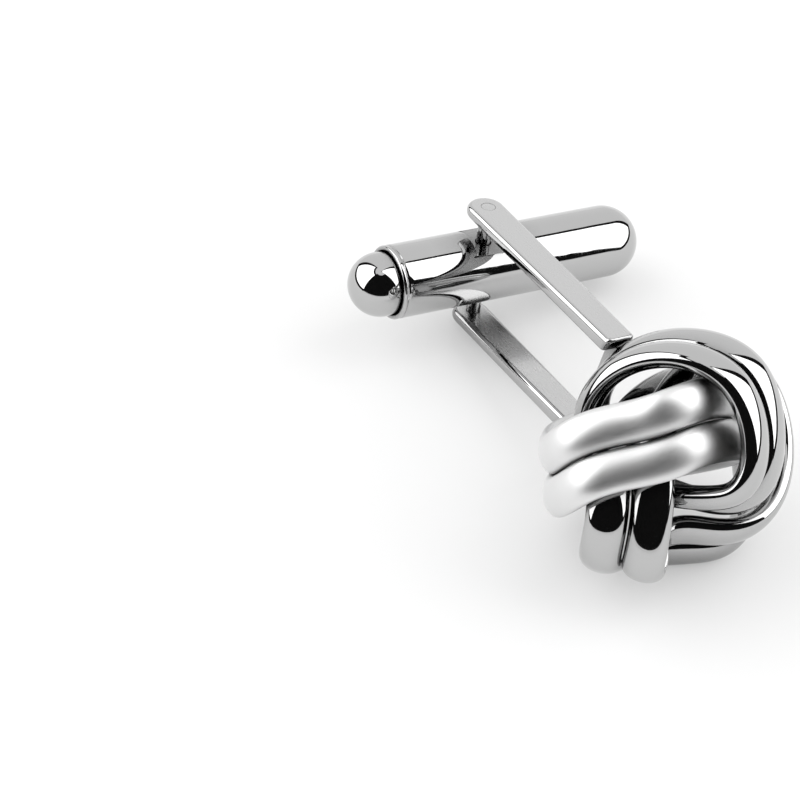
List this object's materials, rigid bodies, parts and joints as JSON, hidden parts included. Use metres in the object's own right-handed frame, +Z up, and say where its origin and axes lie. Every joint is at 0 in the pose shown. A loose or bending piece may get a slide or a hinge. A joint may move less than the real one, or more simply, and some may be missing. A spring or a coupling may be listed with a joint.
{
  "type": "knot cufflink",
  "caption": "Knot cufflink: interlaced doubled wire rings on a fork, with a ball-ended toggle bar that swivels between the arm tips of the fork to hold a cuff.",
  "frame": {"origin": "middle of the bounding box's underside, on the table that the cufflink lies on", "axes": "+X towards the toggle's ball-headed end, +Y from the toggle towards the knot, +Z up from the table"},
  "size_m": [0.0202, 0.0286, 0.0143],
  "materials": {
    "satin_ring": "satin silver-coloured plate",
    "polished_rings": "mirror-polished silver-coloured plate",
    "fork_metal": "polished silver-coloured plate with fine straight grain on the flat faces",
    "pin_metal": "polished silver-coloured plate",
    "toggle_metal": "mirror-polished silver-coloured plate",
    "plug_metal": "mirror-polished silver-coloured plate"
  },
  "bodies": {
    "fixed": {"knot_wire_a1": "satin_ring", "knot_wire_a2": "satin_ring", "knot_wire_b1": "polished_rings", "knot_wire_b2": "polished_rings", "knot_wire_c1": "polished_rings", "knot_wire_c2": "polished_rings", "fork": "fork_metal", "pivot_pin": "pin_metal"},
    "toggle": {"toggle_tube": "toggle_metal", "toggle_plug": "plug_metal"}
  },
  "joints": [
    {"name": "toggle_turn", "type": "hinge", "parent": "fixed", "child": "toggle", "pos_m": [0.00109, -0.01201, 0.00438], "axis": [-0.1392, -0.1564, 0.9778], "range_deg": [-90, 90]}
  ]
}
